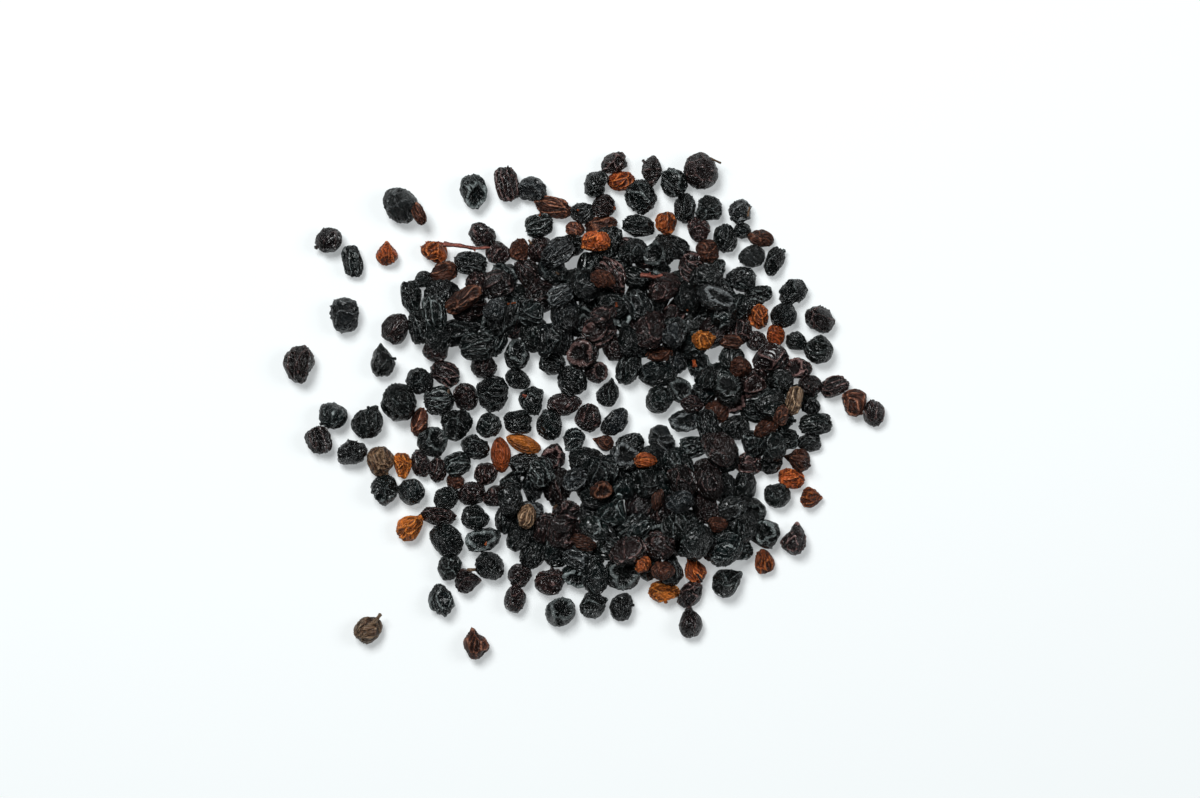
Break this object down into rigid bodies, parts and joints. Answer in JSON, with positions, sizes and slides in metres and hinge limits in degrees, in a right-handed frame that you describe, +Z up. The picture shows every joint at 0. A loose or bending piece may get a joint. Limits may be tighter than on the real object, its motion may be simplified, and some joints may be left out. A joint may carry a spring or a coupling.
{
  "type": "dried elderberry cluster",
  "caption": "Loose ring-shaped cluster of dried elderberries, wrinkled and mostly black with some orange-brown ones, lying in a low heap with stray berries round it.",
  "frame": {"origin": "middle of the cluster's outline, on the surface that it lies on", "axes": "+Z up; +X along the longest side of the cluster, to the right as seen from above; +Y away from the viewer"},
  "size_m": [0.067, 0.0562, 0.0068],
  "materials": {
    "black_skin": "dry wrinkled skin, near black with a faint bluish sheen",
    "slate_skin": "smooth dented skin, grey black with a dull bloom",
    "plum_skin": "dry wrinkled skin, dark plum brown",
    "brown_skin": "dry red-brown skin with fine grain",
    "rust_skin": "dry orange-brown skin with fine grain",
    "tan_skin": "papery tan skin with dark creases",
    "stalk_skin": "dry pinkish stalk, finely fibrous"
  },
  "bodies": {
    "root": {"berry_01": "plum_skin", "berry_02": "plum_skin", "berry_03": "plum_skin", "berry_04": "black_skin", "berry_05": "slate_skin", "berry_06": "black_skin", "berry_07": "black_skin", "berry_08": "tan_skin", "berry_09": "black_skin", "berry_10": "tan_skin", "berry_11": "black_skin", "berry_13": "rust_skin", "berry_17": "black_skin", "berry_19": "black_skin", "berry_20": "brown_skin", "berry_21": "black_skin", "berry_22": "brown_skin", "berry_26": "rust_skin", "berry_29": "black_skin", "berry_31": "black_skin", "berry_34": "black_skin", "berry_37": "black_skin", "berry_43": "slate_skin", "berry_46": "black_skin", "berry_49": "rust_skin", "berry_50": "black_skin", "berry_51": "tan_skin", "berry_52": "plum_skin", "berry_53": "rust_skin", "berry_55": "plum_skin", "berry_57": "brown_skin", "berry_58": "plum_skin", "berry_clump_12": "black_skin", "berry_clump_14": "rust_skin", "berry_clump_15": "black_skin", "berry_clump_16": "black_skin", "berry_clump_18": "black_skin", "berry_clump_23": "plum_skin", "berry_clump_24": "black_skin", "berry_clump_25": "black_skin", "berry_clump_27": "black_skin", "berry_clump_28": "plum_skin", "berry_clump_30": "black_skin", "berry_clump_32": "black_skin", "berry_clump_33": "brown_skin", "berry_clump_35": "black_skin", "berry_clump_36": "black_skin", "berry_clump_38": "black_skin", "berry_clump_39": "black_skin", "berry_clump_40": "black_skin", "berry_clump_41": "black_skin", "berry_clump_42": "black_skin", "berry_clump_44": "black_skin", "berry_clump_45": "black_skin", "berry_clump_47": "black_skin", "berry_clump_48": "black_skin", "berry_clump_54": "black_skin", "berry_clump_56": "black_skin", "stalk_long": "stalk_skin", "stalk_sliver": "stalk_skin"}
  },
  "joints": []
}
